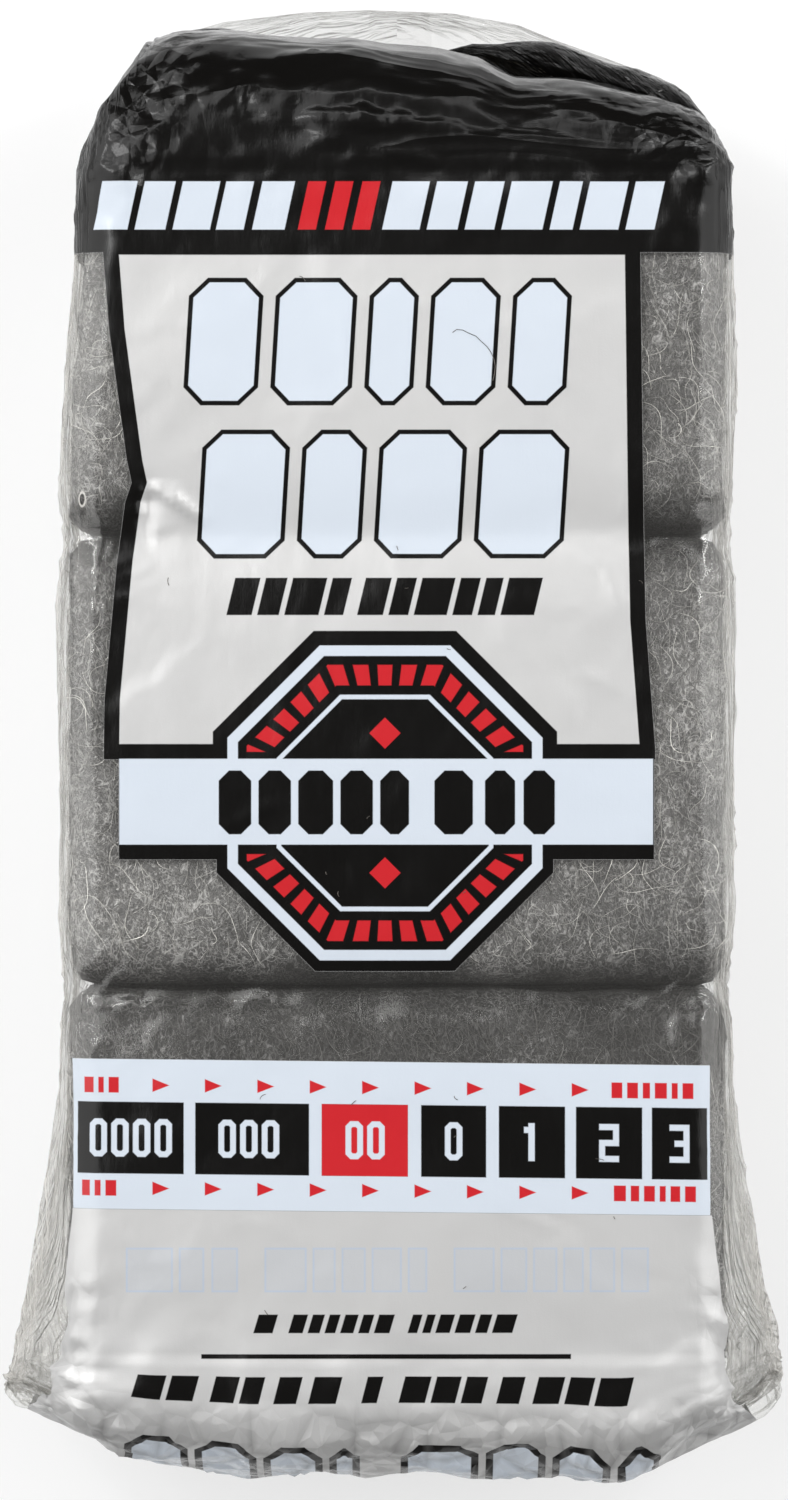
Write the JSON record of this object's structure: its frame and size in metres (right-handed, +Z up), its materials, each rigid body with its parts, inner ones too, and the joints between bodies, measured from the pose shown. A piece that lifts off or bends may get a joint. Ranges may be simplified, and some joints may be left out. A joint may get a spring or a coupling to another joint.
{
  "type": "steel wool pad pack",
  "caption": "Sealed side-gusseted film bag of rolled steel wool pads laid end to end in layers, with a flat seal and ears at one end and a loose film lip at the other.",
  "frame": {"origin": "on the surface that the pack lies on, at the middle of its length and width", "axes": "+Z up through the printed front, +Y along the pack towards the filled end with the loose lip, +X to the right when the front is read"},
  "size_m": [0.1278, 0.245, 0.0701],
  "materials": {
    "clear_film": "clear glossy film, printed on the front in black, silver, white and red",
    "steel_wool": "matted fine steel fibres, dull with small bright glints"
  },
  "bodies": {
    "root": {"film_bag": "clear_film", "wool_pad_01": "steel_wool", "wool_pad_02": "steel_wool", "wool_pad_03": "steel_wool", "wool_pad_04": "steel_wool", "wool_pad_05": "steel_wool", "wool_pad_06": "steel_wool", "wool_pad_07": "steel_wool", "wool_pad_08": "steel_wool", "wool_pad_09": "steel_wool", "wool_pad_10": "steel_wool", "wool_pad_11": "steel_wool", "wool_pad_12": "steel_wool"}
  },
  "joints": []
}
